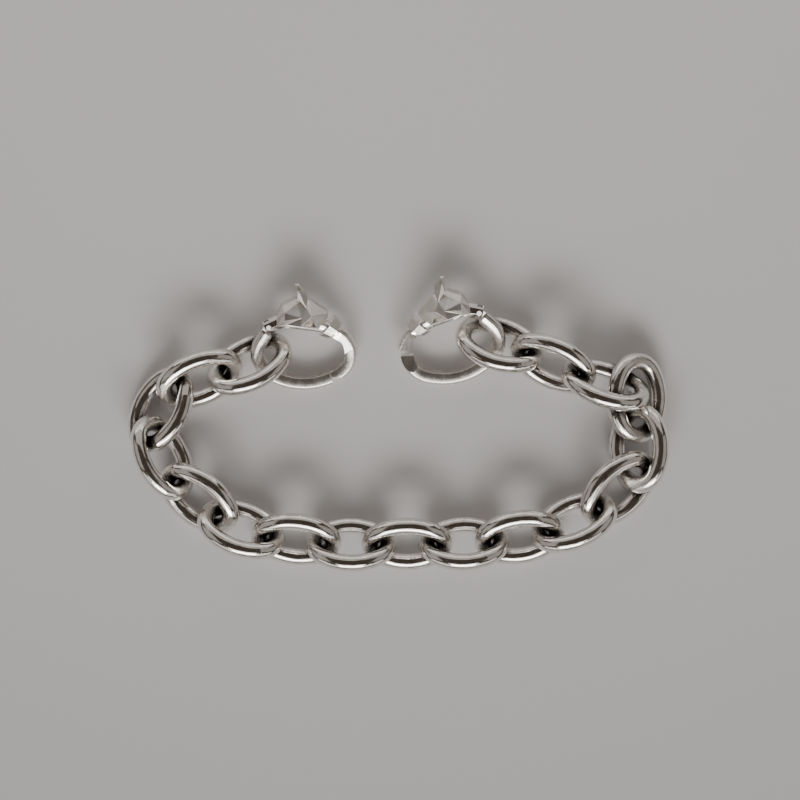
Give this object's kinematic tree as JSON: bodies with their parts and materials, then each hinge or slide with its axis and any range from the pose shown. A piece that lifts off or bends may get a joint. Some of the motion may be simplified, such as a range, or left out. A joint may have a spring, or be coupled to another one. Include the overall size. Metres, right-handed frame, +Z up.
{
  "type": "chain bracelet",
  "caption": "Heavy silver chain bracelet of plain oval links, lying open in a C, with a hinged ring clasp that carries a faceted horse head at each end.",
  "frame": {"origin": "middle of the underside of the whole bracelet as it lies", "axes": "+X from the left clasp to the right one, +Y from the chain's curve towards the clasps, +Z up"},
  "size_m": [0.0874, 0.0476, 0.0101],
  "materials": {
    "link_silver": "polished silver with fine wear scratches",
    "clasp_silver": "satin silver with polished edges",
    "pin_silver": "satin silver, ends filed flush"
  },
  "bodies": {
    "chain_with_clasps": {"left_clasp_body": "clasp_silver", "left_hinge_pin": "pin_silver", "link_01": "link_silver", "link_02": "link_silver", "link_03": "link_silver", "link_04": "link_silver", "link_05": "link_silver", "link_06": "link_silver", "link_07": "link_silver", "link_08": "link_silver", "link_09": "link_silver", "link_10": "link_silver", "link_11": "link_silver", "link_12": "link_silver", "link_13": "link_silver", "link_14": "link_silver", "link_15": "link_silver", "link_16": "link_silver", "link_17": "link_silver", "link_18": "link_silver", "right_clasp_body": "clasp_silver", "right_hinge_pin": "pin_silver"},
    "left_gate": {"left_clasp_gate": "clasp_silver"},
    "right_gate": {"right_clasp_gate": "clasp_silver"}
  },
  "joints": [
    {"name": "left_gate_hinge", "type": "hinge", "parent": "chain_with_clasps", "child": "left_gate", "pos_m": [-0.02081, 0.01573, 0.00513], "axis": [-0.0918, 0.3258, -0.941], "range_deg": [0, 12]},
    {"name": "right_gate_hinge", "type": "hinge", "parent": "chain_with_clasps", "child": "right_gate", "pos_m": [0.01312, 0.01811, 0.00552], "axis": [-0.0074, -0.364, 0.9314], "range_deg": [-4.5, 7.5]}
  ]
}
